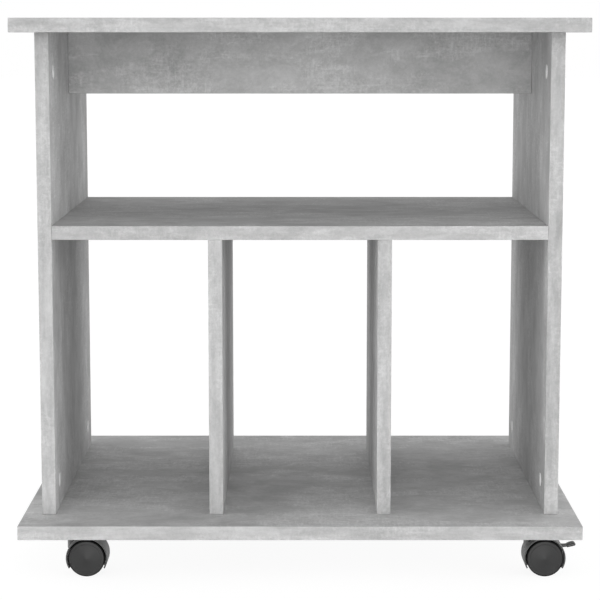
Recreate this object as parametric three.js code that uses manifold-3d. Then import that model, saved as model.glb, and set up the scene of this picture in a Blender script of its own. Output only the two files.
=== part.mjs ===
// Mobile printer stand: an open cabinet of 15 mm boards in a concrete-look decor on four twin-wheel
// swivel casters. Millimetres, +Z up, +X to the right, the open front towards -Y.
// The origin is on the floor, under the middle of the stand.
import * as THREE from "three";
import { mergeVertices } from "three/addons/utils/BufferGeometryUtils.js";
import Module from "manifold-3d";

const manifold = await Module();
manifold.setup();

// ---- Driving dimensions ----
const BOARD = 15; // thickness of every board
const STAND = { width: 600, depth: 450, height: 600 };
const CASTER_HEIGHT = 50;
const SIDE_OVERHANG = 20; // top and base panel beyond the side panels' outer faces
const END_OVERHANG = 50; // top and base panel beyond the side panels' front and back edges
const BAY_HEIGHT = 300; // clear height of the lower bays
const DIVIDER_DEPTH = 327; // dividers stop short of the open back
const RAIL_HEIGHT = 70;
const GAP = 0.3; // clearance round every pin, dowel and screw
const PAST_FACE = 1; // how far a cutter reaches past the faces it cuts
const FACETS = { small: 10, round: 16, arc: 18, spline: 3 }; // rods and holes, covers, arcs, lever curves

// ---- Sizes that follow from them ----
const baseTop = CASTER_HEIGHT + BOARD;
const topUnderside = STAND.height - BOARD;
const sideOuterX = STAND.width / 2 - SIDE_OVERHANG;
const sideInnerX = sideOuterX - BOARD;
const sideMiddleX = sideOuterX - BOARD / 2;
const sideDepth = STAND.depth - 2 * END_OVERHANG;
const shelfUnderside = baseTop + BAY_HEIGHT;
const shelfMiddleZ = shelfUnderside + BOARD / 2;
const bayWidth = (2 * sideInnerX - 2 * BOARD) / 3;
const dividerX = (bayWidth + BOARD) / 2;
const dividerMiddleY = (DIVIDER_DEPTH - sideDepth) / 2;
const railMiddleZ = topUnderside - RAIL_HEIGHT / 2;

// ---- Knock-down fittings ----
const CAM = {
  radius: 7,
  depth: 12,
  coverRadius: 7.6,
  coverHeight: 1.2,
  coverBevel: 1.2,
  inset: 36, // from the side panel's front or back edge
  drop: 42, // below the top panel
  rise: 30, // above the base panel
};
const BOLT = {
  thread: 3,
  threadLength: 11,
  sleeve: 3.5,
  neck: 1.8,
  neckLength: 4,
  head: 3.2,
  headLength: 3,
  pastCam: 1, // beyond the cam's middle
};
const DOWEL = { radius: 3.9, inPanel: 10, inBoard: 20 };
const SHELF_DOWEL_Y = 120;
const SCREW = { shank: 2.5, head: 4.6, headDepth: 3, length: 50 };
const SCREW_FROM_END = 60; // along each divider

// ---- Casters, about the swivel axis, with the wheels trailing towards +X ----
const CASTER = { x: 248, y: 175, trail: 17 };
const WHEEL = {
  radius: 20,
  facets: 28,
  chamfer: 1,
  inner: 5.5, // distances along the axle from the caster's middle
  edge: 15.4,
  apex: 17.5,
  boreEnd: 14.3,
  coneRadius: 18.6,
  bore: 2.6,
};
const AXLE = { radius: 2.3, halfLength: 14 };
const HOOD = {
  outer: 22.5,
  inner: 21,
  halfWidth: 14.5,
  webHalf: 4.2,
  hub: 6,
  below: THREE.MathUtils.degToRad(30), // its arc goes on below the axle at both ends
};
const BOSS = { radius: 4.8, bottom: 28, top: 46.5 };
const KINGPIN = { radius: 3, bottom: 29.8, collar: 6, collarHeight: 1.2 };
const PLATE = { size: 38, thickness: 2, holeRadius: 2.2, holeInset: 4.5 };
// The brake lever's places in x and z are measured from the axle.
const LEVER = {
  pivot: [12, 12.5],
  eye: 2.6,
  pin: 1.3,
  pinHalf: 4,
  armHalf: 2.5,
  padHalf: 5.5,
  padFrom: 25.2,
  top: [[13.6, 14.5], [17.5, 12.8], [22, 12.2], [28, 13.2], [32.8, 14.4]], // root to tip
  nose: [34.4, 13.4],
  underside: [[33.9, 11.8], [28.5, 10.4], [22, 9.2], [16.5, 8.9], [11.4, 10]], // tip to root
};
const LEVER_SLOT = { fromX: 9, toX: 25, fromZ: 3, toZ: 16.5 }; // in the hood and its web
const axleZ = WHEEL.radius * Math.cos(Math.PI / WHEEL.facets); // a flat of the tread stands on the floor

// ---- Materials ----
const materials = {
  decor: new THREE.MeshStandardMaterial({ color: 0xa3a3a3, roughness: 0.62, metalness: 0 }),
  plastic: new THREE.MeshStandardMaterial({ color: 0x2c2c2d, roughness: 0.4, metalness: 0 }),
  tread: new THREE.MeshStandardMaterial({ color: 0x343435, roughness: 0.55, metalness: 0 }),
  cover: new THREE.MeshStandardMaterial({ color: 0xdedede, roughness: 0.45, metalness: 0 }),
  zinc: new THREE.MeshStandardMaterial({ color: 0xb4b7ba, roughness: 0.35, metalness: 1 }),
  beech: new THREE.MeshStandardMaterial({ color: 0xc9a877, roughness: 0.7, metalness: 0 }),
};

// ---- Geometry helpers ----
const UP = new THREE.Vector3(0, 0, 1);
const DOWN = new THREE.Vector3(0, 0, -1);
const RIGHT = new THREE.Vector3(1, 0, 0);
const LEFT = new THREE.Vector3(-1, 0, 0);
const ALONG_Y = new THREE.Vector3(0, 1, 0);

function point(x, y, z) {
  return new THREE.Vector3(x, y, z);
}

function solidOf(geometry) {
  const bare = geometry.index ? geometry.toNonIndexed() : geometry.clone();
  bare.deleteAttribute("normal");
  bare.deleteAttribute("uv");
  const merged = mergeVertices(bare, 1e-3);
  const mesh = new manifold.Mesh({
    numProp: 3,
    vertProperties: merged.attributes.position.array,
    triVerts: new Uint32Array(merged.index.array),
  });
  return new manifold.Manifold(mesh);
}

function geometryOf(solid) {
  const mesh = solid.getMesh();
  const geometry = new THREE.BufferGeometry();
  geometry.setAttribute("position", new THREE.BufferAttribute(mesh.vertProperties, 3));
  geometry.setIndex(new THREE.BufferAttribute(mesh.triVerts, 1));
  geometry.computeVertexNormals();
  return geometry;
}

// Joins the first geometries and cuts the second ones away.
function shaped(joined, cuts = []) {
  const whole = joined.map(solidOf).reduce((a, b) => a.add(b));
  return geometryOf(cuts.map(solidOf).reduce((a, b) => a.subtract(b), whole));
}

// A revolved profile of [radius, distance] pairs, standing at "foot" and pointing along "direction".
function turned(profile, foot, direction, facets = FACETS.small) {
  const outline = profile.map(([radius, distance]) => new THREE.Vector2(radius, distance));
  const geometry = new THREE.LatheGeometry(outline, facets);
  geometry.applyQuaternion(new THREE.Quaternion().setFromUnitVectors(ALONG_Y, direction));
  return geometry.translate(foot.x, foot.y, foot.z);
}

function rod(radius, length, foot, direction, facets = FACETS.small) {
  return turned([[0, 0], [radius, 0], [radius, length], [0, length]], foot, direction, facets);
}

// A round hole from its mouth inwards.
function bore(radius, depth, mouth, inwards, facets = FACETS.small) {
  const foot = mouth.clone().addScaledVector(inwards, -PAST_FACE);
  return rod(radius, PAST_FACE + depth, foot, inwards, facets);
}

// A flat outline in x and z, made "width" wide across y and centred on y = 0.
function across(outline, width, curveSegments) {
  const options = { depth: width, bevelEnabled: false, curveSegments };
  const geometry = new THREE.ExtrudeGeometry(outline, options);
  return geometry.rotateX(Math.PI / 2).translate(0, width / 2, 0);
}

function mesh(name, geometry, material, position = point(0, 0, 0)) {
  const made = new THREE.Mesh(geometry, material);
  made.name = name;
  made.position.copy(position);
  return made;
}

// A board from its size and its middle. Its bores are given where they are on the stand.
function board(name, size, middle, bores) {
  const blank = new THREE.BoxGeometry(size.x, size.y, size.z);
  const cutters = bores.map((cutter) => cutter.translate(-middle.x, -middle.y, -middle.z));
  return mesh(name, shaped([blank], cutters), materials.decor, middle);
}

// ---- Places that repeat ----
const SIDES = [
  { name: "left", sign: -1, inwards: RIGHT, outwards: LEFT },
  { name: "right", sign: 1, inwards: LEFT, outwards: RIGHT },
];
const ENDS = [
  { name: "front", sign: -1 },
  { name: "rear", sign: 1 },
];
const LEVELS = [
  { name: "top", edge: topUnderside, cam: topUnderside - CAM.drop, towardsCam: DOWN, away: UP },
  { name: "bottom", edge: baseTop, cam: baseTop + CAM.rise, towardsCam: UP, away: DOWN },
];
const camY = (end) => end.sign * (sideDepth / 2 - CAM.inset);
const screwY = (end) => dividerMiddleY + end.sign * (DIVIDER_DEPTH / 2 - SCREW_FROM_END);

// ---- Fittings ----

// The bolt's profile from its threaded tip to the head that the cam grips.
function boltProfile(length) {
  const neckEnd = length - BOLT.headLength;
  const sleeveEnd = neckEnd - BOLT.neckLength;
  return [
    [0, 0],
    [BOLT.thread, 0],
    [BOLT.thread, BOLT.threadLength],
    [BOLT.sleeve, BOLT.threadLength],
    [BOLT.sleeve, sleeveEnd],
    [BOLT.neck, sleeveEnd],
    [BOLT.neck, neckEnd],
    [BOLT.head, neckEnd],
    [BOLT.head, length],
    [0, length],
  ];
}

function camBolt(name, side, end, level) {
  const foot = point(side.sign * sideMiddleX, camY(end), level.edge);
  foot.addScaledVector(level.away, BOLT.threadLength);
  const length = BOLT.threadLength + Math.abs(level.edge - level.cam) + BOLT.pastCam;
  return mesh(name, turned(boltProfile(length), foot, level.towardsCam), materials.zinc);
}

// A cam that turns on the bolt's head, with a low domed cover on the side panel's inner face.
function camLock(name, side, end, level) {
  const face = point(side.sign * sideInnerX, camY(end), level.cam);
  const profile = [
    [0, -CAM.depth],
    [CAM.radius, -CAM.depth],
    [CAM.radius, 0],
    [CAM.coverRadius, 0],
    [CAM.coverRadius, CAM.coverHeight / 2],
    [CAM.coverRadius - CAM.coverBevel, CAM.coverHeight],
    [0, CAM.coverHeight],
  ];
  const boltHole = point(side.sign * sideMiddleX, camY(end), level.cam);
  boltHole.addScaledVector(level.away, CAM.radius);
  const cutter = bore(BOLT.sleeve + GAP, CAM.radius + BOLT.pastCam + GAP, boltHole, level.towardsCam);
  return mesh(name, shaped([turned(profile, face, side.inwards, FACETS.round)], [cutter]), materials.cover);
}

function screwProfile(grown) {
  return [
    [0, 0],
    [SCREW.head + grown, 0],
    [SCREW.shank + grown, SCREW.headDepth],
    [SCREW.shank + grown, SCREW.length + grown],
    [0, SCREW.length + grown],
  ];
}

function screwFoot(side, end) {
  return point(side.sign * dividerX, screwY(end), CASTER_HEIGHT);
}

function dividerScrew(name, side, end) {
  return mesh(name, turned(screwProfile(0), screwFoot(side, end), UP), materials.zinc);
}

// The dowel's inner end is in the shelf or rail, and its outer end in the side panel.
function dowel(name, side, y, z) {
  const foot = point(side.sign * (sideInnerX - DOWEL.inBoard), y, z);
  const length = DOWEL.inBoard + DOWEL.inPanel;
  return mesh(name, rod(DOWEL.radius, length, foot, side.outwards), materials.beech);
}

function dowelBoreInPanel(side, y, z) {
  return bore(DOWEL.radius + GAP, DOWEL.inPanel + GAP, point(side.sign * sideInnerX, y, z), side.outwards);
}

function dowelBoreInBoard(side, y, z) {
  return bore(DOWEL.radius + GAP, DOWEL.inBoard + GAP, point(side.sign * sideInnerX, y, z), side.inwards);
}

// ---- Boards ----
function sidePanel(side) {
  const bores = [dowelBoreInPanel(side, 0, railMiddleZ)];
  for (const end of ENDS) {
    bores.push(dowelBoreInPanel(side, end.sign * SHELF_DOWEL_Y, shelfMiddleZ));
    for (const level of LEVELS) {
      const camMouth = point(side.sign * sideInnerX, camY(end), level.cam);
      const boltMouth = point(side.sign * sideMiddleX, camY(end), level.edge);
      const boltDepth = Math.abs(level.edge - level.cam) + BOLT.pastCam + GAP;
      bores.push(bore(CAM.radius + GAP, CAM.depth + GAP, camMouth, side.outwards, FACETS.round));
      bores.push(bore(BOLT.sleeve + GAP, boltDepth, boltMouth, level.towardsCam));
    }
  }
  const size = point(BOARD, sideDepth, topUnderside - baseTop);
  const middle = point(side.sign * sideMiddleX, 0, (topUnderside + baseTop) / 2);
  return board(side.name + "_side_panel", size, middle, bores);
}

function boltBores(level) {
  return SIDES.flatMap((side) =>
    ENDS.map((end) => {
      const mouth = point(side.sign * sideMiddleX, camY(end), level.edge);
      return bore(BOLT.thread + GAP, BOLT.threadLength + GAP, mouth, level.away);
    }),
  );
}

function screwBores() {
  return SIDES.flatMap((side) =>
    ENDS.map((end) => {
      const foot = screwFoot(side, end);
      const cutter = turned(screwProfile(GAP), foot, UP);
      const mouth = rod(SCREW.head + GAP, PAST_FACE, foot.clone().addScaledVector(UP, -PAST_FACE), UP);
      return shaped([cutter, mouth]);
    }),
  );
}

function topPanel() {
  const size = point(STAND.width, STAND.depth, BOARD);
  return board("top_panel", size, point(0, 0, STAND.height - BOARD / 2), boltBores(LEVELS[0]));
}

function basePanel() {
  const size = point(STAND.width, STAND.depth, BOARD);
  const bores = [...boltBores(LEVELS[1]), ...screwBores()];
  return board("base_panel", size, point(0, 0, CASTER_HEIGHT + BOARD / 2), bores);
}

function middleShelf() {
  const bores = SIDES.flatMap((side) =>
    ENDS.map((end) => dowelBoreInBoard(side, end.sign * SHELF_DOWEL_Y, shelfMiddleZ)),
  );
  return board("middle_shelf", point(2 * sideInnerX, sideDepth, BOARD), point(0, 0, shelfMiddleZ), bores);
}

function divider(side) {
  const bores = ENDS.map((end) => {
    const mouth = screwFoot(side, end).addScaledVector(UP, BOARD);
    return bore(SCREW.shank + GAP, SCREW.length - BOARD + GAP, mouth, UP);
  });
  const middle = point(side.sign * dividerX, dividerMiddleY, baseTop + BAY_HEIGHT / 2);
  return board(side.name + "_divider", point(BOARD, DIVIDER_DEPTH, BAY_HEIGHT), middle, bores);
}

function crossRail() {
  const bores = SIDES.map((side) => dowelBoreInBoard(side, 0, railMiddleZ));
  return board("cross_rail", point(2 * sideInnerX, BOARD, RAIL_HEIGHT), point(0, 0, railMiddleZ), bores);
}

// ---- Caster pieces, in the caster's own frame: the swivel axis is x = y = 0 and the floor is z = 0 ----
function casterPlate(name) {
  const plate = new THREE.BoxGeometry(PLATE.size, PLATE.size, PLATE.thickness);
  const middle = point(0, 0, CASTER_HEIGHT - PLATE.thickness / 2);
  const reach = PLATE.size / 2 - PLATE.holeInset;
  const holes = SIDES.flatMap((side) =>
    ENDS.map((end) => {
      const mouth = point(side.sign * reach, end.sign * reach, -PLATE.thickness / 2);
      return bore(PLATE.holeRadius, PLATE.thickness + PAST_FACE, mouth, UP);
    }),
  );
  return mesh(name, shaped([plate], holes), materials.zinc, middle);
}

function kingpin(name) {
  const length = CASTER_HEIGHT - PLATE.thickness - KINGPIN.bottom;
  const collarFrom = length - KINGPIN.collarHeight;
  const profile = [
    [0, 0],
    [KINGPIN.radius, 0],
    [KINGPIN.radius, collarFrom],
    [KINGPIN.collar, collarFrom],
    [KINGPIN.collar, length],
    [0, length],
  ];
  return mesh(name, turned(profile, point(0, 0, KINGPIN.bottom), UP), materials.zinc);
}

// The mudguard round both wheels, the web between them and the boss that turns on the kingpin.
function hood(name, braked) {
  const from = -HOOD.below;
  const to = Math.PI + HOOD.below;
  const guard = new THREE.Shape();
  guard.absarc(0, 0, HOOD.outer, from, to, false);
  guard.absarc(0, 0, HOOD.inner, to, from, true);
  const web = new THREE.Shape();
  web.absarc(0, 0, (HOOD.outer + HOOD.inner) / 2, from, to, false);
  web.absarc(0, 0, HOOD.hub, to, 2 * Math.PI + from, false);
  const swivel = point(-CASTER.trail, 0, -axleZ);
  const bossFoot = swivel.clone().setZ(BOSS.bottom - axleZ);
  const bossTop = swivel.clone().setZ(BOSS.top - axleZ);
  const joined = [
    across(guard, 2 * HOOD.halfWidth, FACETS.arc),
    across(web, 2 * HOOD.webHalf, FACETS.arc),
    rod(BOSS.radius, BOSS.top - BOSS.bottom, bossFoot, UP, FACETS.round),
  ];
  const cuts = [
    bore(KINGPIN.radius + GAP, BOSS.top - KINGPIN.bottom + GAP, bossTop, DOWN),
    bore(AXLE.radius + GAP, 2 * HOOD.webHalf + PAST_FACE, point(0, -HOOD.webHalf, 0), ALONG_Y),
  ];
  if (braked) {
    const { fromX, toX, fromZ, toZ } = LEVER_SLOT;
    const slot = new THREE.BoxGeometry(toX - fromX, 2 * (LEVER.armHalf + GAP), toZ - fromZ);
    cuts.push(slot.translate((fromX + toX) / 2, 0, (fromZ + toZ) / 2));
    const pinHole = point(LEVER.pivot[0], -HOOD.webHalf, LEVER.pivot[1]);
    cuts.push(bore(LEVER.pin + GAP, 2 * HOOD.webHalf + PAST_FACE, pinHole, ALONG_Y));
  }
  return mesh(name, shaped(joined, cuts), materials.plastic, point(CASTER.trail, 0, axleZ));
}

function axle(name) {
  const foot = point(0, -AXLE.halfLength, 0);
  const made = rod(AXLE.radius, 2 * AXLE.halfLength, foot, ALONG_Y);
  return mesh(name, made, materials.zinc, point(CASTER.trail, 0, axleZ));
}

// One of the twin wheels: a blind bore for the axle, a tread, and a shallow cone as its outer face.
function wheel(name, end) {
  const profile = [
    [0, WHEEL.boreEnd],
    [WHEEL.bore, WHEEL.boreEnd],
    [WHEEL.bore, WHEEL.inner],
    [WHEEL.radius - WHEEL.chamfer, WHEEL.inner],
    [WHEEL.radius, WHEEL.inner + WHEEL.chamfer],
    [WHEEL.radius, WHEEL.edge - WHEEL.chamfer],
    [WHEEL.radius - WHEEL.chamfer, WHEEL.edge],
    [WHEEL.coneRadius, WHEEL.edge],
    [0, WHEEL.apex],
  ];
  const outline = profile.map(([radius, distance]) => new THREE.Vector2(radius, distance));
  const made = new THREE.LatheGeometry(outline, WHEEL.facets, Math.PI / WHEEL.facets);
  if (end.sign < 0) made.rotateZ(Math.PI);
  return mesh(name, made, materials.tread, point(CASTER.trail, 0, axleZ));
}

// The brake lever turns on two stub pins in the hood's web. Its pad stands up while the brake is off.
function brakeLever(name) {
  const [root, ...top] = LEVER.top.map(([x, z]) => new THREE.Vector2(x, z));
  const [tip, ...underside] = LEVER.underside.map(([x, z]) => new THREE.Vector2(x, z));
  const outline = new THREE.Shape();
  outline.moveTo(root.x, root.y);
  outline.splineThru(top);
  outline.lineTo(LEVER.nose[0], LEVER.nose[1]);
  outline.lineTo(tip.x, tip.y);
  outline.splineThru(underside);
  const pivot = point(LEVER.pivot[0], 0, LEVER.pivot[1]);
  const arm = solidOf(across(outline, 2 * LEVER.armHalf, FACETS.spline));
  const eye = solidOf(rod(LEVER.eye, 2 * LEVER.armHalf, pivot.clone().setY(-LEVER.armHalf), ALONG_Y));
  const pins = solidOf(rod(LEVER.pin, 2 * LEVER.pinHalf, pivot.clone().setY(-LEVER.pinHalf), ALONG_Y));
  const span = 2 * WHEEL.radius; // more than the pad needs, from where it starts
  const outside = new THREE.BoxGeometry(span, span, span).translate(LEVER.padFrom + span / 2, 0, span / 2);
  const wide = solidOf(across(outline, 2 * LEVER.padHalf, FACETS.spline));
  const pad = wide.intersect(solidOf(outside));
  const made = geometryOf(arm.add(eye).add(pins).add(pad));
  return mesh(name, made, materials.plastic, point(CASTER.trail, 0, axleZ));
}

function caster(side, end) {
  const name = end.name + "_" + side.name + "_caster_";
  const braked = side.sign * end.sign < 0; // the front right one and the rear left one
  const group = new THREE.Group();
  group.position.set(side.sign * CASTER.x, end.sign * CASTER.y, 0);
  group.add(casterPlate(name + "plate"));
  group.add(kingpin(name + "kingpin"));
  group.add(hood(name + "hood", braked));
  group.add(axle(name + "axle"));
  for (const half of ENDS) group.add(wheel(name + half.name + "_wheel", half));
  if (braked) group.add(brakeLever(name + "brake_lever"));
  return group;
}

// ---- The stand ----
const stand = new THREE.Group();
stand.add(topPanel(), basePanel(), middleShelf(), crossRail());
for (const side of SIDES) {
  stand.add(sidePanel(side), divider(side));
  stand.add(dowel("rail_dowel_" + side.name, side, 0, railMiddleZ));
  for (const end of ENDS) {
    const corner = end.name + "_" + side.name;
    stand.add(dowel("shelf_dowel_" + corner, side, end.sign * SHELF_DOWEL_Y, shelfMiddleZ));
    stand.add(dividerScrew("divider_screw_" + corner, side, end));
    for (const level of LEVELS) {
      const place = corner + "_" + level.name;
      stand.add(camLock("cam_lock_" + place, side, end, level));
      stand.add(camBolt("cam_bolt_" + place, side, end, level));
    }
    stand.add(caster(side, end));
  }
}

export default stand;
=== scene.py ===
"""The looks of the mobile printer stand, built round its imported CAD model.

Sizes are in millimetres until a mesh is finished, and in metres from then on.
"""

import math

import bmesh
import bpy
from mathutils import Matrix, Vector


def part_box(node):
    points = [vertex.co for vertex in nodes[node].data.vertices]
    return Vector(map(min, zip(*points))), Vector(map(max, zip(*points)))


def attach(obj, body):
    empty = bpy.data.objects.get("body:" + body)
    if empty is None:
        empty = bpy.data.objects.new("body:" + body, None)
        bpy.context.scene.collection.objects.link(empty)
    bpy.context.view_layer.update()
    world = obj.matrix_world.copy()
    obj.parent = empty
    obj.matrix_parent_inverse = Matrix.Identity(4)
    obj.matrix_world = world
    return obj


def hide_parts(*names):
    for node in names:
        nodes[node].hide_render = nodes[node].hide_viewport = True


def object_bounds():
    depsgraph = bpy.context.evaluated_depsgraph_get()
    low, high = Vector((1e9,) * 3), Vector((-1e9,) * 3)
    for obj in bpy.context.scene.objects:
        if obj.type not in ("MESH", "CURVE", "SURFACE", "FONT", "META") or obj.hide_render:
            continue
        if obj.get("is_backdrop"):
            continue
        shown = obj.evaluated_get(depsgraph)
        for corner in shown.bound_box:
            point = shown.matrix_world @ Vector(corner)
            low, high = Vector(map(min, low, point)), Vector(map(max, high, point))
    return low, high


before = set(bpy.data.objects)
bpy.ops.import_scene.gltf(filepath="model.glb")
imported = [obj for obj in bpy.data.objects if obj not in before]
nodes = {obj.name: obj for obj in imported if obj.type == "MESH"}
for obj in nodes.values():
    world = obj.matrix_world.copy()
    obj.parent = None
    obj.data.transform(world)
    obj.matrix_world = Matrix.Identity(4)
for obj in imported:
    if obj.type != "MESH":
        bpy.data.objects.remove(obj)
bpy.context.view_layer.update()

MM = 0.001
BOARD = 15.0  # thickness of every board
GAP = 0.3  # clearance round pins and fasteners, as in the CAD model
EDGE_RADIUS = 0.7  # rounding of the boards' banded edges
X, Y, Z = 0, 1, 2


# ---- Camera, floor and light ----
CAMERA = {
    "place": (0, -2.1759, 0.5899),
    "pitch": 7.14,  # degrees below level
    "lens": 113.23,
    "shift": -0.06,
}


def add_camera():
    data = bpy.data.cameras.new("camera")
    data.lens = CAMERA["lens"]
    data.sensor_width = 36
    data.shift_y = CAMERA["shift"]
    data.clip_start = 0.1
    data.clip_end = 50
    camera = bpy.data.objects.new("camera", data)
    camera.location = CAMERA["place"]
    camera.rotation_euler = (math.radians(90 - CAMERA["pitch"]), 0, 0)
    bpy.context.scene.collection.objects.link(camera)
    bpy.context.scene.camera = camera


def add_node(tree, kind, inputs=None, **settings):
    """Adds a shader node. An input is a value or another node's output socket."""
    node = tree.nodes.new(kind)
    for key, value in settings.items():
        setattr(node, key, value)
    for key, value in (inputs or {}).items():
        if isinstance(value, bpy.types.NodeSocket):
            tree.links.new(value, node.inputs[key])
        else:
            node.inputs[key].default_value = value
    return node


def combine(tree, operation, first, second):
    node = add_node(tree, "ShaderNodeMath", {0: first, 1: second}, operation=operation)
    return node.outputs[0]


BACKDROP = 1.0  # how bright the surround looks to the camera
LIGHTS = [
    # degrees round from the front, degrees above level, focus, strength
    (0, 0, 40, 8.3),
    (0, 45, 20, 1.9),
    (60, 10, 16, 1.1),
    (-60, 10, 16, 1.1),
    (90, 0, 2, 2.15),
    (-90, 0, 2, 2.15),
    (180, 45, 20, 1.5),
    (180, 0, 2, 0.25),
]


def add_world():
    """Soft studio light: wide glowing patches round the stand, in a plain white surround."""
    world = bpy.data.worlds.new("studio")
    world.use_nodes = True
    tree = world.node_tree
    direction = add_node(tree, "ShaderNodeTexCoord").outputs["Generated"]
    total = 0.0
    for turn, height, focus, strength in LIGHTS:
        turn, height = math.radians(turn), math.radians(height)
        towards = (math.sin(turn) * math.cos(height), -math.cos(turn) * math.cos(height), math.sin(height))
        inputs = {0: direction, 1: towards}
        facing = add_node(tree, "ShaderNodeVectorMath", inputs, operation="DOT_PRODUCT").outputs["Value"]
        glow = combine(tree, "POWER", combine(tree, "MAXIMUM", facing, 0.0), focus)
        inputs = {0: glow, 1: strength, 2: total}
        total = add_node(tree, "ShaderNodeMath", inputs, operation="MULTIPLY_ADD").outputs[0]
    seen = add_node(tree, "ShaderNodeLightPath").outputs["Is Camera Ray"]
    strength = add_node(tree, "ShaderNodeMix", {"Factor": seen, "A": total, "B": BACKDROP}).outputs["Result"]
    background = tree.nodes["Background"]
    background.inputs["Color"].default_value = (1, 1, 1, 1)
    tree.links.new(strength, background.inputs["Strength"])
    bpy.context.scene.world = world
    view = bpy.context.scene.view_settings
    view.view_transform = "Standard"
    view.look = "None"
    view.exposure = 0
    view.gamma = 1


FLOOR_HALF = 20.0
FLOOR_GLOW = 0.9
FLOOR_WHITE = 0.15


def add_floor():
    """A pale glowing floor, on which only a faint contact shadow shows. It doesn't light the stand."""
    mesh = bpy.data.meshes.new("floor")
    corners = [(-1, -1), (1, -1), (1, 1), (-1, 1)]
    mesh.from_pydata([(x * FLOOR_HALF, y * FLOOR_HALF, 0) for x, y in corners], [], [(0, 1, 2, 3)])
    floor = bpy.data.objects.new("floor", mesh)
    bpy.context.scene.collection.objects.link(floor)
    material = bpy.data.materials.new("floor_white")
    material.use_nodes = True
    shader = material.node_tree.nodes["Principled BSDF"]
    shader.inputs["Base Color"].default_value = (FLOOR_WHITE, FLOOR_WHITE, FLOOR_WHITE, 1)
    shader.inputs["Specular IOR Level"].default_value = 0
    shader.inputs["Roughness"].default_value = 1
    shader.inputs["Emission Color"].default_value = (1, 1, 1, 1)
    shader.inputs["Emission Strength"].default_value = FLOOR_GLOW
    mesh.materials.append(material)
    floor.visible_diffuse = False
    floor.visible_glossy = False
    floor.visible_shadow = False
    floor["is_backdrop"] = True


add_camera()
add_world()
add_floor()


# ---- Materials ----
def new_material(name, **fixed):
    """A Principled material. The fixed inputs are the same all over the surface."""
    material = bpy.data.materials.new(name)
    material.use_nodes = True
    tree = material.node_tree
    shader = tree.nodes["Principled BSDF"]
    for key, value in fixed.items():
        shader.inputs[key.replace("_", " ")].default_value = value
    return material, tree, shader


def scaled_place(tree, scale, shift=(0, 0, 0)):
    """Object coordinates, scaled along each axis."""
    source = add_node(tree, "ShaderNodeTexCoord").outputs["Object"]
    inputs = {"Vector": source, "Scale": scale, "Location": shift}
    return add_node(tree, "ShaderNodeMapping", inputs).outputs["Vector"]


def noise(tree, place, scale, detail=2.0, roughness=0.5, distortion=0.0):
    """Cloudy noise. Its scale is per metre, and more detail gives it a finer grain."""
    inputs = {
        "Vector": place,
        "Scale": scale,
        "Detail": detail,
        "Roughness": roughness,
        "Distortion": distortion,
    }
    return add_node(tree, "ShaderNodeTexNoise", inputs).outputs["Fac"]


def cells(tree, place, scale):
    inputs = {"Vector": place, "Scale": scale}
    return add_node(tree, "ShaderNodeTexVoronoi", inputs).outputs["Distance"]


def smooth_step(tree, value, low, high):
    """Rises smoothly from 0 where the value is low to 1 where it is high."""
    inputs = {"Value": value, "From Min": low, "From Max": high}
    node = add_node(tree, "ShaderNodeMapRange", inputs, interpolation_type="SMOOTHSTEP")
    return node.outputs["Result"]


def layered(tree, base, layers):
    """The base value plus each (value, amount), where a value of 0.5 adds nothing."""
    total = base - sum(amount for _, amount in layers) / 2
    for value, amount in layers:
        node = add_node(tree, "ShaderNodeMath", {0: value, 1: amount, 2: total}, operation="MULTIPLY_ADD")
        total = node.outputs[0]
    return total


def add_bump(tree, shader, height, distance):
    bump = add_node(tree, "ShaderNodeBump", {"Height": height, "Distance": distance})
    tree.links.new(bump.outputs["Normal"], shader.inputs["Normal"])


def stretched(grain, along, across=1.0):
    """A scale for each axis that draws the pattern out along the grain."""
    scale = [across] * 3
    scale[grain] = along
    return tuple(scale)


# drift and tear draw a pattern out along the grain, the scales are per metre, and the rest are greys
PANEL_PATTERN = {
    "grey": 0.51,
    "drift": 0.45,
    "tear": 0.7,
    "cloud_scale": 7,
    "blotch_scale": 34,
    "clouds": 0.08,
    "blotches": 0.09,
    "torn": 0.03,
    "streaks": 0.015,
    "rough": 0.12,
}
BAND_PATTERN = {
    # the edge band is its own tape with a finer pattern, but its grey sits below the faces' as painted shade
    # that tones the banded edges down under the strong front light
    "grey": 0.478,
    "drift": 0.2,
    "tear": 0.35,
    "cloud_scale": 16,
    "blotch_scale": 80,
    "clouds": 0.05,
    "blotches": 0.08,
    "torn": 0.02,
    "streaks": 0.045,
    "rough": 0.07,
}


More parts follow.
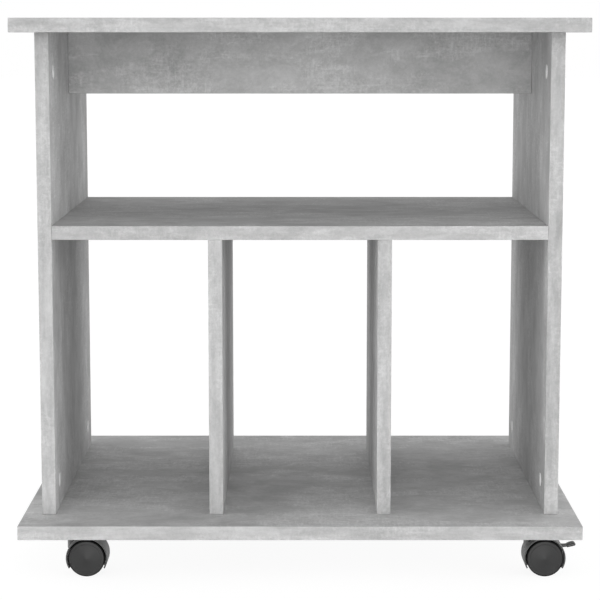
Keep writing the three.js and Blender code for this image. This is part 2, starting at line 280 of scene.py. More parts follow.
def decor_material(name, grain, pattern, shift):
    """Concrete-look decor: clouds, torn blotches, fine streaks and patches of cross-hatched crackle."""
    material, tree, shader = new_material(name, Specular_IOR_Level=0.2)
    drawn_out = scaled_place(tree, stretched(grain, pattern["drift"]), shift)
    drawn_a_little = scaled_place(tree, stretched(grain, pattern["tear"]), shift)
    even = scaled_place(tree, (1, 1, 1), shift)
    lengthwise = scaled_place(tree, stretched(grain, 0.12), shift)
    crosswise = scaled_place(tree, stretched(grain, 1.0, 0.14), shift)
    cloud_scale = pattern["cloud_scale"]
    blotch_scale = pattern["blotch_scale"]

    clouds = smooth_step(tree, noise(tree, drawn_out, cloud_scale, 8, 0.6, 0.3), 0.42, 0.58)
    blotches = smooth_step(tree, noise(tree, drawn_a_little, blotch_scale, 8, 0.74, 0.4), 0.36, 0.64)
    torn = smooth_step(tree, noise(tree, drawn_a_little, blotch_scale * 0.6, 9, 0.7, 0.2), 0.5, 0.52)
    streaks = smooth_step(tree, noise(tree, lengthwise, 170, 4, 0.65), 0.38, 0.62)
    patches = smooth_step(tree, noise(tree, drawn_out, cloud_scale * 2.5, 4, 0.6, 0.4), 0.45, 0.55)
    hatching = combine(
        tree,
        "MAXIMUM",
        smooth_step(tree, noise(tree, lengthwise, 380, 3, 0.6), 0.45, 0.7),
        smooth_step(tree, noise(tree, crosswise, 380, 3, 0.6), 0.45, 0.7),
    )
    crackle = smooth_step(tree, noise(tree, even, 300, 4, 0.75, 0.6), 0.4, 0.62)
    rough_patch = combine(tree, "MULTIPLY", layered(tree, 0.5, [(hatching, 0.7), (crackle, 0.5)]), patches)
    pits = smooth_step(tree, cells(tree, even, 160), 0.05, 0.14)
    grey = layered(
        tree,
        pattern["grey"],
        [
            (clouds, pattern["clouds"]),
            (blotches, pattern["blotches"]),
            (torn, pattern["torn"]),
            (streaks, pattern["streaks"]),
            (rough_patch, pattern["rough"]),
            (crackle, 0.04),
            (pits, 0.02),
        ],
    )
    tree.links.new(grey, shader.inputs["Base Color"])
    roughness = layered(tree, 0.58, [(clouds, 0.1), (crackle, 0.1)])
    tree.links.new(roughness, shader.inputs["Roughness"])
    height = layered(tree, 0.5, [(rough_patch, 0.6), (blotches, 0.3), (pits, 0.5)])
    add_bump(tree, shader, height, 0.05 * MM)
    return material


def chipboard_material():
    """The raw board inside a bore: pressed wood chips in brown and straw."""
    material, tree, shader = new_material("chipboard", Roughness=0.9)
    place = scaled_place(tree, (1, 1, 1))
    inputs = {"Vector": place, "Scale": 420}
    chips = add_node(tree, "ShaderNodeTexVoronoi", inputs).outputs["Color"]
    ramp = add_node(tree, "ShaderNodeValToRGB", {"Fac": chips})
    ramp.color_ramp.elements[0].color = (0.25, 0.15, 0.08, 1)
    ramp.color_ramp.elements[1].color = (0.62, 0.47, 0.3, 1)
    tree.links.new(ramp.outputs["Color"], shader.inputs["Base Color"])
    add_bump(tree, shader, cells(tree, place, 420), 0.2 * MM)
    return material


def beech_material():
    material, tree, shader = new_material("beech", Roughness=0.65)
    along = scaled_place(tree, (0.12, 1, 1))
    fibres = noise(tree, along, 900, 4, 0.6)
    rays = smooth_step(tree, noise(tree, scaled_place(tree, (0.3, 1, 1)), 1500), 0.55, 0.7)
    ramp = add_node(tree, "ShaderNodeValToRGB", {"Fac": layered(tree, 0.5, [(fibres, 0.8), (rays, 0.2)])})
    ramp.color_ramp.elements[0].color = (0.42, 0.26, 0.13, 1)
    ramp.color_ramp.elements[1].color = (0.72, 0.52, 0.32, 1)
    tree.links.new(ramp.outputs["Color"], shader.inputs["Base Color"])
    add_bump(tree, shader, fibres, 0.1 * MM)
    return material


def zinc_material():
    """Bright zinc plating: grey metal with a faint spangle and fine rolling marks."""
    material, tree, shader = new_material("zinc_plating", Metallic=1.0)
    spangle = cells(tree, scaled_place(tree, (1, 1, 1)), 350)
    marks = noise(tree, scaled_place(tree, (0.1, 1, 1)), 1600, 3)
    grey = layered(tree, 0.58, [(spangle, 0.14), (marks, 0.12)])
    tree.links.new(grey, shader.inputs["Base Color"])
    tree.links.new(layered(tree, 0.34, [(spangle, 0.15), (marks, 0.12)]), shader.inputs["Roughness"])
    add_bump(tree, shader, marks, 0.02 * MM)
    return material


def moulded_material(name, grey, roughness, grain_size, **fixed):
    """Moulded plastic with a fine spark-eroded texture and slightly uneven gloss."""
    material, tree, shader = new_material(name, **fixed)
    place = scaled_place(tree, (1, 1, 1))
    flow = noise(tree, place, 60, 3, 0.5, 0.6)
    texture = noise(tree, place, 1000 / grain_size, 3, 0.6)
    shade = layered(tree, grey, [(flow, grey * 0.3), (texture, grey * 0.2)])
    tree.links.new(shade, shader.inputs["Base Color"])
    gloss = layered(tree, roughness, [(flow, 0.12), (texture, 0.08)])
    tree.links.new(gloss, shader.inputs["Roughness"])
    add_bump(tree, shader, texture, 0.03 * MM)
    return material


PAINTED_LIGHT_PANEL_PATTERN = {**PANEL_PATTERN, "grey": 0.525}  # boards that run across the stand: the same decor as the upright boards, with a lighter grey as painted light that brightens them
DECOR = {
    X: decor_material("decor_grain_x", X, PAINTED_LIGHT_PANEL_PATTERN, (0, 0, 0)),
    Z: decor_material("decor_grain_z", Z, PANEL_PATTERN, (3.1, 1.7, 0)),
}
BAND = {
    X: decor_material("edge_band_x", X, BAND_PATTERN, (0.4, 2.2, 5.1)),
    Y: decor_material("edge_band_y", Y, BAND_PATTERN, (4.2, 0.3, 1.9)),
    Z: decor_material("edge_band_z", Z, BAND_PATTERN, (1.3, 6.2, 0.8)),
}
CHIPBOARD = chipboard_material()
BEECH = beech_material()
ZINC = zinc_material()
COVER_PLASTIC = moulded_material("cover_plastic", 0.9, 0.2, 0.5, Specular_IOR_Level=0.9)
HOOD_FINISH = {"Specular_IOR_Level": 0.8, "Sheen_Weight": 0.3, "Sheen_Roughness": 0.3}
HOOD_PLASTIC = moulded_material("hood_plastic", 0.024, 0.34, 0.4, **HOOD_FINISH)
WHEEL_PLASTIC = moulded_material("wheel_plastic", 0.042, 0.36, 0.4, Specular_IOR_Level=0.16)
# The tread is near black with little gloss: partly the tyre's own dark colour, partly painted shade for the
# dark gap round the wheel's face under the hood.
TYRE_AND_SHADE_PLASTIC = moulded_material("tyre_and_shade_plastic", 0.006, 0.6, 0.4, Specular_IOR_Level=0.12)


# ---- Outlines ----
def arc(centre, radius, start, end, steps):
    """Points on a circle from one angle to another, in degrees."""
    angles = [math.radians(start + (end - start) * i / steps) for i in range(steps + 1)]
    return [(centre[0] + radius * math.cos(a), centre[1] + radius * math.sin(a)) for a in angles]


def rounded(corners, closed=True, steps=4):
    """A path whose corners are (across, up) or (across, up, fillet radius)."""
    path = []
    count = len(corners)
    for i, corner in enumerate(corners):
        here = Vector(corner[:2])
        fillet = corner[2] if len(corner) > 2 else 0
        if not fillet or (not closed and i in (0, count - 1)):
            path.append(tuple(here))
            continue
        before = Vector(corners[i - 1][:2]) - here
        after = Vector(corners[(i + 1) % count][:2]) - here
        half_angle = before.angle(after) / 2
        reach = min(fillet / math.tan(half_angle), 0.49 * before.length, 0.49 * after.length)
        start = here + before.normalized() * reach
        end = here + after.normalized() * reach
        for j in range(steps + 1):
            t = j / steps
            path.append(tuple(start * (1 - t) ** 2 + here * 2 * t * (1 - t) + end * t**2))
    return path


def smooth_curve(points, steps=6):
    """A Catmull-Rom curve through the points."""
    knots = [Vector(p) for p in points]
    knots = [2 * knots[0] - knots[1], *knots, 2 * knots[-1] - knots[-2]]
    path = []
    for a, b, c, d in zip(knots, knots[1:], knots[2:], knots[3:]):
        for i in range(steps):
            t = i / steps
            bend = 2 * a - 5 * b + 4 * c - d
            twist = 3 * b - a - 3 * c + d
            path.append(tuple((2 * b + (c - a) * t + bend * t**2 + twist * t**3) / 2))
    path.append(tuple(knots[-2]))
    return path


# ---- Solids, as bmeshes in millimetres ----
TINY = 1e-6
WELD = 1e-4  # points closer together than this become one
SHARP_ANGLE = 35  # edges sharper than this, in degrees, stay crisp


def lathe(profile, segments):
    """Turns (radius, height) pairs about Z. The profile starts and ends on the axis."""
    bm = bmesh.new()
    rings = []
    for radius, height in profile:
        if radius < TINY:
            rings.append([bm.verts.new((0, 0, height))])
            continue
        angles = [2 * math.pi * i / segments for i in range(segments)]
        rings.append([bm.verts.new((radius * math.cos(a), radius * math.sin(a), height)) for a in angles])
    for low, high in zip(rings, rings[1:]):
        for i in range(segments):
            j = (i + 1) % segments
            corners = [low[i % len(low)], low[j % len(low)], high[j % len(high)], high[i % len(high)]]
            distinct = list(dict.fromkeys(corners))
            if len(distinct) > 2:
                bm.faces.new(distinct)
    bmesh.ops.recalc_face_normals(bm, faces=bm.faces)
    return bm


def round_edges(bm, edges, radius):
    bmesh.ops.bevel(bm, geom=edges, offset=radius, segments=3, profile=0.5, affect="EDGES")


def slab(outline, half_width, edge=0.0):
    """An outline in x and z made solid across y, with its two rims rounded."""
    bm = bmesh.new()
    front = bm.faces.new([bm.verts.new((x, -half_width, z)) for x, z in outline])
    extruded = bmesh.ops.extrude_face_region(bm, geom=[front])
    moved = [v for v in extruded["geom"] if isinstance(v, bmesh.types.BMVert)]
    bmesh.ops.translate(bm, verts=moved, vec=(0, 2 * half_width, 0))
    bmesh.ops.recalc_face_normals(bm, faces=bm.faces)
    if edge:
        round_edges(bm, [e for e in bm.edges if abs(e.verts[0].co.y - e.verts[1].co.y) < TINY], edge)
    return bm


def box(low, high, edge=0.0):
    bm = bmesh.new()
    bmesh.ops.create_cube(bm, size=1)
    size = Vector(high) - Vector(low)
    middle = (Vector(high) + Vector(low)) / 2
    bmesh.ops.transform(bm, matrix=Matrix.Translation(middle) @ Matrix.Diagonal((*size, 1)), verts=bm.verts)
    if edge:
        round_edges(bm, bm.edges[:], edge)
    return bm


def rod(radius, start, end, segments=32, end_radius=None):
    """A plain round rod or cone between two points. It only ever cuts or joins."""
    start = Vector(start)
    along = Vector(end) - start
    last = radius if end_radius is None else end_radius
    bm = lathe([(0, 0), (radius, 0), (last, along.length), (0, along.length)], segments)
    turn = Vector((0, 0, 1)).rotation_difference(along.normalized()).to_matrix().to_4x4()
    return placed(bm, Matrix.Translation(start) @ turn)


def placed(bm, matrix):
    bmesh.ops.transform(bm, matrix=matrix, verts=bm.verts)
    return bm


def loose_object(bm):
    mesh = bpy.data.meshes.new("solid")
    bm.to_mesh(mesh)
    bm.free()
    made = bpy.data.objects.new("solid", mesh)
    bpy.context.scene.collection.objects.link(made)
    return made


def shaped(first, others, operation="DIFFERENCE"):
    """Cuts the other solids from the first, or joins them to it, one after another."""
    made = loose_object(first)
    for tool in others:
        other = loose_object(tool)
        modifier = made.modifiers.new("shape", "BOOLEAN")
        modifier.operation = operation
        modifier.solver = "EXACT"
        modifier.object = other
        graph = bpy.context.evaluated_depsgraph_get()
        result = bpy.data.meshes.new_from_object(made.evaluated_get(graph))
        made.modifiers.clear()
        made.data = result
        bpy.data.objects.remove(other)
    bm = bmesh.new()
    bm.from_mesh(made.data)
    bpy.data.objects.remove(made)
    bmesh.ops.remove_doubles(bm, verts=bm.verts, dist=WELD)
    return bm


def finished_mesh(name, bm, materials, pick=None):
    """The finished mesh in metres. pick(face) gives the number of a face's material."""
    if pick:
        for face in bm.faces:
            face.material_index = pick(face)
    bmesh.ops.scale(bm, vec=(MM, MM, MM), verts=bm.verts)
    mesh = bpy.data.meshes.new(name)
    bm.to_mesh(mesh)
    bm.free()
    for material in materials:
        mesh.materials.append(material)
    mesh.shade_smooth()
    mesh.set_sharp_from_angle(angle=math.radians(SHARP_ANGLE))
    return mesh


def add_piece(name, mesh, body, replaced=(), place=(0, 0, 0)):
    piece = bpy.data.objects.new(name, mesh)
    bpy.context.scene.collection.objects.link(piece)
    piece.location = Vector(place) * MM
    weighted = piece.modifiers.new("even_normals", "WEIGHTED_NORMAL")
    weighted.keep_sharp = True
    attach(piece, body)
    if replaced:
        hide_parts(*replaced)
    return piece


def box_in_mm(node):
    low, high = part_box(node)
    return low / MM, high / MM


def middle_of(node):
    low, high = box_in_mm(node)
    return (low + high) / 2


# ---- Fasteners and the bores they need ----
CAM = {"radius": 7.0, "depth": 12.0, "cover": 7.6, "rim": 0.5, "height": 1.2}
BOLT = {
    "head": 3.2,
    "head_length": 3.0,
    "neck": 1.8,
    "neck_end": 7.0,
    "sleeve": 3.5,
    "root": 2.3,
    "thread": 3.0,
    "thread_length": 11.0,
    "pitch": 1.8,
}
DOWEL = {"radius": 3.9, "chamfer": 0.8, "flutes": 14}
FLUTE = [(0, 0), (0.3, 0), (0.6, 0), (0.8, 0.3)]  # share of the way to the next flute, depth
DIVIDER_SCREW = {
    "head": 4.6,
    "head_length": 3.0,
    "chamfer": 0.25,
    "neck": 2.3,
    "shank": 2.0,
    "root": 1.8,
    "thread": 2.5,
    "thread_from": 16,
    "length": 50,
    "pitch": 2.2,
    "recess": (2.4, 1.6),  # reach and depth
}
CAM_BORE = CAM["radius"] + GAP
DOWEL_BORE = DOWEL["radius"] + GAP
BOLT_BORE = BOLT["sleeve"] + GAP
SHANK_BORE = DIVIDER_SCREW["thread"] + GAP
COUNTERSINK = {"radius": DIVIDER_SCREW["head"] + GAP, "depth": DIVIDER_SCREW["head_length"]}
OVERCUT = 1.0  # how far a cutter stands out of the face it enters
ON_FACE = 0.01  # a point closer than this to a face counts as on it
FASTENERS = {
    "cam_lock_": (X, CAM_BORE),
    "cam_bolt_": (Z, BOLT_BORE),
    "shelf_dowel_": (X, DOWEL_BORE),
    "rail_dowel_": (X, DOWEL_BORE),
    "divider_screw_": (Z, SHANK_BORE),
}
PLATE_SCREWS = [(x, y) for x in (-14.5, 14.5) for y in (-14.5, 14.5)]  # from the plate's middle
PILOT = {"radius": 2.0, "depth": 11.0}


# ---- Boards ----
def overlap(first, second):
    return all(first[0][i] < second[1][i] and second[0][i] < first[1][i] for i in (X, Y, Z))


def fastener_cutter(node, axis, radius, low, high):
    """The bore that a fastener needs in the board between low and high."""
    fastener_low, fastener_high = box_in_mm(node)
    start = (fastener_low + fastener_high) / 2
    end = start.copy()
    inside_start = fastener_low[axis] > low[axis]
    inside_end = fastener_high[axis] < high[axis]
    start[axis] = fastener_low[axis] - GAP if inside_start else low[axis] - OVERCUT
    end[axis] = fastener_high[axis] + GAP if inside_end else high[axis] + OVERCUT
    return rod(radius, start, end, 40)


def board_cutters(low, high):
    cutters = []
    for node in nodes:
        for prefix, (axis, radius) in FASTENERS.items():
            if node.startswith(prefix) and overlap(box_in_mm(node), (low, high)):
                cutters.append(fastener_cutter(node, axis, radius, low, high))
    return cutters


def board_mesh(name, grain, extra_cutters=()):
    """A laminated board: decor faces, an edge band round its edges and bare chipboard in its bores."""
    low, high = box_in_mm(name)
    size = high - low
    thin = min((X, Y, Z), key=lambda i: size[i])
    long_edge = max((X, Y, Z), key=lambda i: size[i])
    short_edge = ({X, Y, Z} - {thin, long_edge}).pop()
    cutters = board_cutters(low, high) + list(extra_cutters)
    bm = shaped(box(low, high, edge=EDGE_RADIUS), cutters)
    materials = [DECOR[grain], BAND[long_edge], BAND[short_edge], CHIPBOARD]

    def pick(face):
        middle = face.calc_center_median()
        inset = [min(middle[i] - low[i], high[i] - middle[i]) for i in (X, Y, Z)]
        if inset[thin] < ON_FACE:
            return 0
        near = [i for i in (X, Y, Z) if inset[i] < EDGE_RADIUS]
        on_band = inset[long_edge] < ON_FACE or inset[short_edge] < ON_FACE
        if on_band or len(near) > 1:
            return 1 if inset[short_edge] < inset[long_edge] else 2
        return 3

    return finished_mesh(name, bm, materials, pick)


def screw_places():
    """Where the caster plates are screwed to the base panel's underside."""
    plates = [middle_of(node) for node in nodes if node.endswith("_caster_plate")]
    return [(plate.x + x, plate.y + y) for plate in plates for x, y in PLATE_SCREWS]


base_underside = box_in_mm("base_panel")[0].z


def base_cutters():
    cutters = []
    for x, y in screw_places():
        start = (x, y, base_underside - OVERCUT)
        cutters.append(rod(PILOT["radius"], start, (x, y, base_underside + PILOT["depth"]), 24))
    for node in nodes:
        if node.startswith("divider_screw_"):
            middle = middle_of(node)
            mouth = (middle.x, middle.y, base_underside - ON_FACE)
            depth = (middle.x, middle.y, base_underside + COUNTERSINK["depth"])
            cutters.append(rod(COUNTERSINK["radius"], mouth, depth, 40, SHANK_BORE))
    return cutters


BOARD_GRAIN = {
    "top_panel": X,
    "base_panel": X,
    "middle_shelf": X,
    "cross_rail": X,
    "left_side_panel": Z,
    "right_side_panel": Z,
    "left_divider": Z,
    "right_divider": Z,
}
for board, grain in BOARD_GRAIN.items():
    extra = base_cutters() if board == "base_panel" else ()
    add_piece(board + "_board", board_mesh(board, grain, extra), "cabinet", [board])


# ---- Fittings in the boards ----
def cover_height(radius):
    """How far a cam's domed cover stands out of the board at a radius."""
    return CAM["rim"] + (CAM["height"] - CAM["rim"]) * (1 - (radius / CAM["cover"]) ** 2)


def cam_mesh(inwards, away):
    """A cam with a domed cover. Its face looks along inwards (+1 or -1 in x), and away is the bolt's side."""
    edge = CAM["cover"] - 0.5
    profile = rounded(
        [
            (0, -CAM["depth"]),
            (CAM["radius"], -CAM["depth"], 0.6),
            (CAM["radius"], 0),
            (CAM["cover"], 0),
            (CAM["cover"], CAM["rim"], 0.3),
            (edge, cover_height(edge)),
        ],
        closed=False,
    )
    steps = 16
    for i in range(steps - 2, -1, -1):
        radius = CAM["cover"] * i / steps
        profile.append((radius, cover_height(radius)))
    turn = Matrix.Rotation(math.radians(90 * inwards), 4, "Y")
    drum = placed(lathe(profile, 64), turn)
    bolt_x = -inwards * BOARD / 2
    past_drum = away * (CAM["radius"] + OVERCUT)
    channel = rod(BOLT_BORE, (bolt_x, 0, 0), (bolt_x, 0, past_drum), 24)
    return finished_mesh("cam", shaped(drum, [channel]), [COVER_PLASTIC])


def threaded(root, crest, start, end, pitch):
    """The profile of a thread from its first turn to its tip."""
    path = []
    turns = int((end - start) / pitch)
    for i in range(turns):
        taper = min(1, (turns - i) / 3)
        at = start + i * pitch
        path += [(root * taper, at), (crest * taper, at + pitch / 2)]
    path.append((0, end))
    return path


def cam_bolt_mesh(length):
    """A connecting bolt: its head, which the cam grips, at height 0, and its thread at the far end."""
    thread_start = length - BOLT["thread_length"]
    shank = rounded(
        [
            (0, 0),
            (BOLT["head"], 0, 0.8),
            (BOLT["head"], BOLT["head_length"], 0.5),
            (BOLT["neck"], BOLT["head_length"]),
            (BOLT["neck"], BOLT["neck_end"]),
            (BOLT["sleeve"], BOLT["neck_end"], 0.5),
            (BOLT["sleeve"], thread_start),
        ],
        closed=False,
    )
    thread = threaded(BOLT["root"], BOLT["thread"], thread_start, length, BOLT["pitch"])
    return finished_mesh("cam_bolt", lathe(shank + thread, 32), [ZINC])


def dowel_mesh(length):
    """A beech dowel along X, with glue flutes along it and chamfered ends."""
    radius = DOWEL["radius"]
    outline = []
    for i in range(DOWEL["flutes"]):
        for part, depth in FLUTE:
            angle = 2 * math.pi * (i + part) / DOWEL["flutes"]
            outline.append(((radius - depth) * math.cos(angle), (radius - depth) * math.sin(angle)))
    end = length / 2
    taper = radius - DOWEL["chamfer"]
    shoulder = end - DOWEL["chamfer"]
    profile = [(0, -end), (taper, -end), (radius, -shoulder), (radius, shoulder), (taper, end), (0, end)]
    along_y = Matrix.Rotation(math.radians(90), 4, "X")
    dowel = shaped(slab(outline, end + OVERCUT), [placed(lathe(profile, 64), along_y)], "INTERSECT")
    along_x = Matrix.Rotation(math.radians(90), 4, "Z")
    return finished_mesh("dowel", placed(dowel, along_x), [BEECH])


cam_bolts = {}
dowel = None
for node in sorted(nodes):
    low, high = box_in_mm(node)
    middle = (low + high) / 2
    if node.startswith("cam_lock_"):
        inwards = 1 if "_left_" in node else -1
        away = 1 if node.endswith("_top") else -1
        face = high.x - CAM["height"] if inwards > 0 else low.x + CAM["height"]
        name = node.replace("cam_lock", "cam_cover")
        place = (face, middle.y, middle.z)
        add_piece(name, cam_mesh(inwards, away), "cabinet", [node], place)
    if node.startswith("cam_bolt_"):
        length = round(high.z - low.z, 2)
        if length not in cam_bolts:
            cam_bolts[length] = cam_bolt_mesh(length)
        head_down = node.endswith("_top")
        place = (middle.x, middle.y, low.z if head_down else high.z)
        bolt = add_piece(node + "_threaded", cam_bolts[length], "cabinet", [node], place)
        bolt.rotation_euler.x = 0 if head_down else math.pi
    if "_dowel_" in node:
        dowel = dowel or dowel_mesh(high.x - low.x)
        add_piece(node + "_fluted", dowel, "cabinet", [node], middle)


def cross_recess(reach, depth):
    """A cross slot, with a tapered middle, that cuts into a screw head from below."""
    half = 0.24 * reach
    wide = 0.55 * reach
    tip = 0.2 * reach
    deepest = 1.25 * depth
    slots = []
    for turn in (0, 90):
        blade = box((-reach, -half, -OVERCUT), (reach, half, depth))
        slots.append(placed(blade, Matrix.Rotation(math.radians(turn + 45), 4, "Z")))
    slots.append(rod(wide, (0, 0, -OVERCUT), (0, 0, deepest), 16, tip))
    return slots


PAN_HEAD = 2.1  # the height of a plate screw's head
PLATE_SCREW = {
    "head": [(0, -PAN_HEAD), (2.5, 0.1 - PAN_HEAD, 1.2), (3.5, -0.6, 0.6), (3.5, 0), (1.7, 0)],
    "thread": (1.35, 1.9, 1, 12, 1.6),  # root, crest, start, end and pitch
    "recess": (1.9, 1.2),
}


def divider_screw_mesh():
    """A countersunk screw, its head's flat face at height 0 and its shank upwards."""
    sizes = DIVIDER_SCREW
    head = [
        (0, 0),
        (sizes["head"] - sizes["chamfer"], 0),
        (sizes["head"], sizes["chamfer"]),
        (sizes["neck"], sizes["head_length"]),
        (sizes["shank"], sizes["head_length"] + 1),
    ]
    thread = threaded(sizes["root"], sizes["thread"], sizes["thread_from"], sizes["length"], sizes["pitch"])
    screw = lathe(head + thread, 32)
    recess = cross_recess(*sizes["recess"])
    return finished_mesh("divider_screw", shaped(screw, recess), [ZINC])


def plate_screw_mesh():
    """A pan-head screw, its head's underside at height 0 and its shank upwards."""
    head = rounded(PLATE_SCREW["head"], closed=False)
    screw = lathe(head + threaded(*PLATE_SCREW["thread"]), 32)
    lowered = Matrix.Translation((0, 0, -PAN_HEAD))
    recess = [placed(part, lowered) for part in cross_recess(*PLATE_SCREW["recess"])]
    return finished_mesh("plate_screw", shaped(screw, recess), [ZINC])


divider_screw = divider_screw_mesh()
for node in sorted(nodes):
    if node.startswith("divider_screw_"):
        middle = middle_of(node)
        place = (middle.x, middle.y, base_underside)
        add_piece(node + "_crossed", divider_screw, "cabinet", [node], place)


# ---- Casters, about the swivel axis at floor level, trailing towards +X ----
TRAIL = 17.0
AXLE_Z = middle_of("front_left_caster_axle").z
PLATE_Z = box_in_mm("front_left_caster_plate")[0].z
PLATE = {"half": 19.0, "corner": 4.5, "thick": 2.0, "hole": 2.2}
HOOD = {"outer": 22.5, "inner": 21.0, "half": 14.5, "web": 4.2, "hub": 6.0, "from": -30, "to": 210}
KINGPIN = {"radius": 3.0, "bottom": 29.8, "collar": 6.0, "collar_bottom": 46.8}
BOSS = {"radius": 4.8, "bottom": 28.0, "top": 46.5}
AXLE = {"radius": 2.3, "half": 14.0}
WHEEL = {
    "back": 5.5,  # distances along the axle from the caster's middle
    "tread": 10.5,
    "hollow_end": 12.5,
    "bore_end": 14.3,
    "edge": 15.4,
    "apex": 17.5,
    "hub": 5.6,  # radii
    "hollow": 15.6,
    "groove": 15.85,
    "face": 18.6,
    "groove_half": 0.35,  # half the groove's width
    "groove_depth": 0.21,
}
LEVER = {
    "pivot": (12.0, 12.5),
    "eye": 2.6,
    "arm": 2.5,
    "pad": 5.5,
    "pad_from": 25.2,
    "pad_edge": 0.8,
    "pin": 1.3,
    "pin_half": 4.0,
    "top": [(13.6, 14.5), (17.5, 12.8), (22, 12.2), (28, 13.2), (32.8, 14.4)],  # root to tip
    "nose": (34.4, 13.4),
    "underside": [(33.9, 11.8), (28.5, 10.4), (22, 9.2), (16.5, 8.9), (11.4, 10)],  # tip to root
    "slot": [(9, 3), (25, 16.5)],  # opposite corners of the opening in the web
    "ridges": 5,
    "ridge": 0.42,  # radius
}


def plate_mesh():
    """A stamped steel plate with round corners and four screw holes."""
    half = PLATE["half"]
    corners = [(-half, -half), (half, -half), (half, half), (-half, half)]
    outline = rounded([(x, y, PLATE["corner"]) for x, y in corners], steps=6)
    half_thick = PLATE["thick"] / 2
    level = Matrix.Rotation(math.radians(90), 4, "X")
    raised = Matrix.Translation((0, 0, PLATE_Z + half_thick))
    plate = placed(slab(outline, half_thick, edge=0.35), raised @ level)
    low, high = PLATE_Z - OVERCUT, PLATE_Z + PLATE["thick"] + OVERCUT
    holes = [rod(PLATE["hole"], (x, y, low), (x, y, high), 24) for x, y in PLATE_SCREWS]
    return finished_mesh("caster_plate", shaped(plate, holes), [ZINC])


def kingpin_mesh():
    """The swivel pin, with the collar that the plate rests on."""
    profile = rounded(
        [
            (0, KINGPIN["bottom"]),
            (KINGPIN["radius"], KINGPIN["bottom"], 0.5),
            (KINGPIN["radius"], KINGPIN["collar_bottom"]),
            (KINGPIN["collar"], KINGPIN["collar_bottom"], 0.3),
            (KINGPIN["collar"], PLATE_Z),
            (0, PLATE_Z),
        ],
        closed=False,
    )
    return finished_mesh("kingpin", lathe(profile, 48), [ZINC])


def hood_mesh(braked):
    """The mudguard, the web between the wheels and the boss on the kingpin, moulded as one."""
    start, end = HOOD["from"], HOOD["to"]
    guard_line = arc((0, 0), HOOD["outer"], start, end, 72) + arc((0, 0), HOOD["inner"], end, start, 72)
    inside_guard = (HOOD["outer"] + HOOD["inner"]) / 2
    web_line = arc((0, 0), inside_guard, start, end, 72) + arc((0, 0), HOOD["hub"], end, 360 + start, 24)
    guard = slab(guard_line, HOOD["half"], edge=0.4)
    web = slab(web_line, HOOD["web"], edge=0.3)
    swivel = (-TRAIL, 0)
    boss_profile = rounded(
        [
            (0, BOSS["bottom"]),
            (BOSS["radius"], BOSS["bottom"], 0.8),
            (BOSS["radius"], BOSS["top"], 0.5),
            (0, BOSS["top"]),
        ],
        closed=False,
    )
    boss = placed(lathe(boss_profile, 48), Matrix.Translation((*swivel, -AXLE_Z)))
    whole = shaped(guard, [web, boss], "UNION")
    across = HOOD["web"] + OVERCUT
    pin_from = (*swivel, KINGPIN["bottom"] - GAP - AXLE_Z)
    pin_to = (*swivel, BOSS["top"] + OVERCUT - AXLE_Z)
    cuts = [
        rod(KINGPIN["radius"] + GAP, pin_from, pin_to, 40),
        rod(AXLE["radius"] + GAP, (0, -across, 0), (0, across, 0), 32),
    ]
    if braked:
        pivot_x, pivot_z = LEVER["pivot"]
        (slot_x, slot_z), (slot_end_x, slot_end_z) = LEVER["slot"]
        slot_half = LEVER["arm"] + GAP
        cuts.append(box((slot_x, -slot_half, slot_z), (slot_end_x, slot_half, slot_end_z)))
        pin_bore = LEVER["pin"] + GAP
        cuts.append(rod(pin_bore, (pivot_x, -across, pivot_z), (pivot_x, across, pivot_z), 24))
    hood = placed(shaped(whole, cuts), Matrix.Translation((TRAIL, 0, AXLE_Z)))
    return finished_mesh("hood", hood, [HOOD_PLASTIC])


def axle_mesh():
    radius, half = AXLE["radius"], AXLE["half"]
    profile = rounded([(0, -half), (radius, -half, 0.5), (radius, half, 0.5), (0, half)], closed=False)
    turn = Matrix.Rotation(math.radians(90), 4, "X")
    axle = placed(lathe(profile, 32), Matrix.Translation((TRAIL, 0, AXLE_Z)) @ turn)
    return finished_mesh("axle", axle, [ZINC])


def wheel_face(radius):
    """How far along the axle a wheel's shallow conical face stands at a radius."""
    return WHEEL["apex"] - (WHEEL["apex"] - WHEEL["edge"]) * radius / WHEEL["face"]


def wheel_mesh(side):
    """One of the twin wheels, hollow at the back, with a ring groove round its face."""
    radius = AXLE_Z
    bore = AXLE["radius"] + GAP
    hub, hollow, groove = WHEEL["hub"], WHEEL["hollow"], WHEEL["groove"]
    groove_start = groove - WHEEL["groove_half"]
    groove_end = groove + WHEEL["groove_half"]
    groove_floor = wheel_face(groove) - WHEEL["groove_depth"]
    profile = rounded(
        [
            (0, WHEEL["bore_end"]),
            (bore, WHEEL["bore_end"]),
            (bore, WHEEL["back"], 0.3),
            (hub - 0.4, WHEEL["back"], 0.4),
            (hub, WHEEL["hollow_end"], 0.8),
            (hollow, WHEEL["hollow_end"], 1.0),
            (hollow + 0.8, WHEEL["back"], 0.4),
            (radius - 0.1, WHEEL["back"], 1.2),
            (radius, WHEEL["tread"], 6.0),
            (radius - 0.1, WHEEL["edge"] - 0.2, 0.7),
            (WHEEL["face"], wheel_face(WHEEL["face"]), 0.2),
            (groove_end, wheel_face(groove_end), 0.15),
            (groove_end - 0.2, groove_floor, 0.1),
            (groove_start + 0.2, groove_floor, 0.1),
            (groove_start, wheel_face(groove_start), 0.15),
            (0.8, wheel_face(0.8), 0.6),
            (0, WHEEL["apex"] - 0.05),
        ],
        closed=False,
    )
    turn = Matrix.Rotation(math.radians(90 * -side), 4, "X")
    wheel = placed(lathe(profile, 96), Matrix.Translation((TRAIL, 0, AXLE_Z)) @ turn)

    def pick(face):
        middle = face.calc_center_median()
        off_axis = math.hypot(middle.x - TRAIL, middle.z - AXLE_Z)
        # faces beyond the wheel's face take the near-black tread: partly its own colour, partly painted shade
        return 1 if off_axis > WHEEL["face"] else 0

    return finished_mesh("wheel", wheel, [WHEEL_PLASTIC, TYRE_AND_SHADE_PLASTIC], pick)


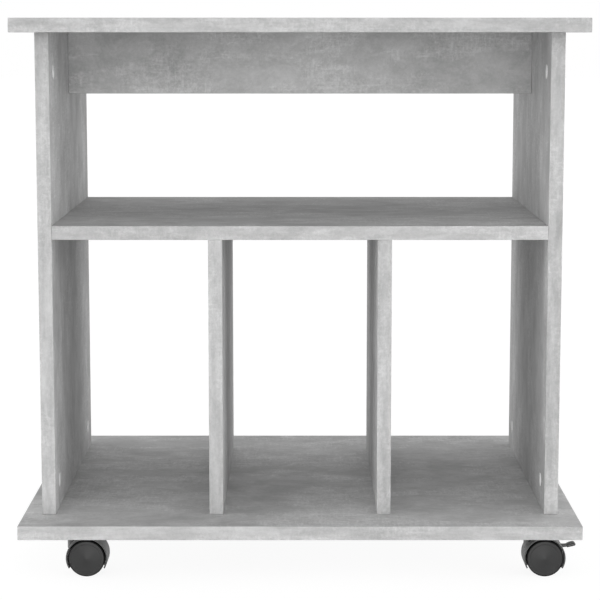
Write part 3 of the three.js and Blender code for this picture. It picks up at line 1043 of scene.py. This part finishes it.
def lever_mesh():
    """The brake lever: an arm through the web, two pins, and a foot pad with grip ridges."""
    pivot_x, pivot_z = LEVER["pivot"]
    upper = smooth_curve(LEVER["top"])
    lower = smooth_curve(LEVER["underside"])
    start = LEVER["pad_from"]
    pad_line = [p for p in upper if p[0] > start] + [LEVER["nose"]] + [p for p in lower if p[0] > start]
    arm = slab(upper + [LEVER["nose"]] + lower, LEVER["arm"], edge=0.5)
    pad = slab(pad_line, LEVER["pad"], edge=LEVER["pad_edge"])
    across = Vector((0, 1, 0))
    pivot = Vector((pivot_x, 0, pivot_z))
    eye = rod(LEVER["eye"], pivot - across * LEVER["arm"], pivot + across * LEVER["arm"], 32)
    pins = rod(LEVER["pin"], pivot - across * LEVER["pin_half"], pivot + across * LEVER["pin_half"], 24)
    half = LEVER["pad"] - LEVER["pad_edge"]
    thick = LEVER["ridge"]
    ridge = rounded([(0, -half), (thick, -half, 0.3), (thick, half, 0.3), (0, half)], closed=False)
    turn = Matrix.Rotation(math.radians(90), 4, "X")
    crests = [(x, z) for x, z in upper if x > start + 2.5][: LEVER["ridges"]]
    ridges = [placed(lathe(ridge, 16), Matrix.Translation((x, 0, z)) @ turn) for x, z in crests]
    whole = shaped(arm, [pad, eye, pins, *ridges], "UNION")
    return finished_mesh("lever", placed(whole, Matrix.Translation((TRAIL, 0, AXLE_Z))), [HOOD_PLASTIC])


plate = plate_mesh()
kingpin = kingpin_mesh()
hoods = {False: hood_mesh(False), True: hood_mesh(True)}
axle = axle_mesh()
wheels = {"front": wheel_mesh(-1), "rear": wheel_mesh(1)}
lever = lever_mesh()
plate_screw = plate_screw_mesh()

for corner in ("front_left", "front_right", "rear_left", "rear_right"):
    prefix = corner + "_caster_"
    pivot = middle_of(prefix + "plate")
    place = (pivot.x, pivot.y, 0)
    braked = prefix + "brake_lever" in nodes
    swivel = corner + "_swivel"
    add_piece(prefix + "top_plate", plate, "cabinet", [prefix + "plate"], place)
    add_piece(prefix + "pin", kingpin, "cabinet", [prefix + "kingpin"], place)
    add_piece(prefix + "mudguard", hoods[braked], swivel, [prefix + "hood"], place)
    add_piece(prefix + "axle_rod", axle, swivel, [prefix + "axle"], place)
    for half, mesh in wheels.items():
        name = prefix + half + "_wheel"
        add_piece(name + "_disc", mesh, f"{corner}_{half}_wheel", [name], place)
    if braked:
        name = prefix + "brake_lever"
        add_piece(name + "_pad", lever, corner + "_brake", [name], place)

for number, (x, y) in enumerate(screw_places()):
    add_piece(f"plate_screw_{number:02d}", plate_screw, "cabinet", (), (x, y, PLATE_Z))


low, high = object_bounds()
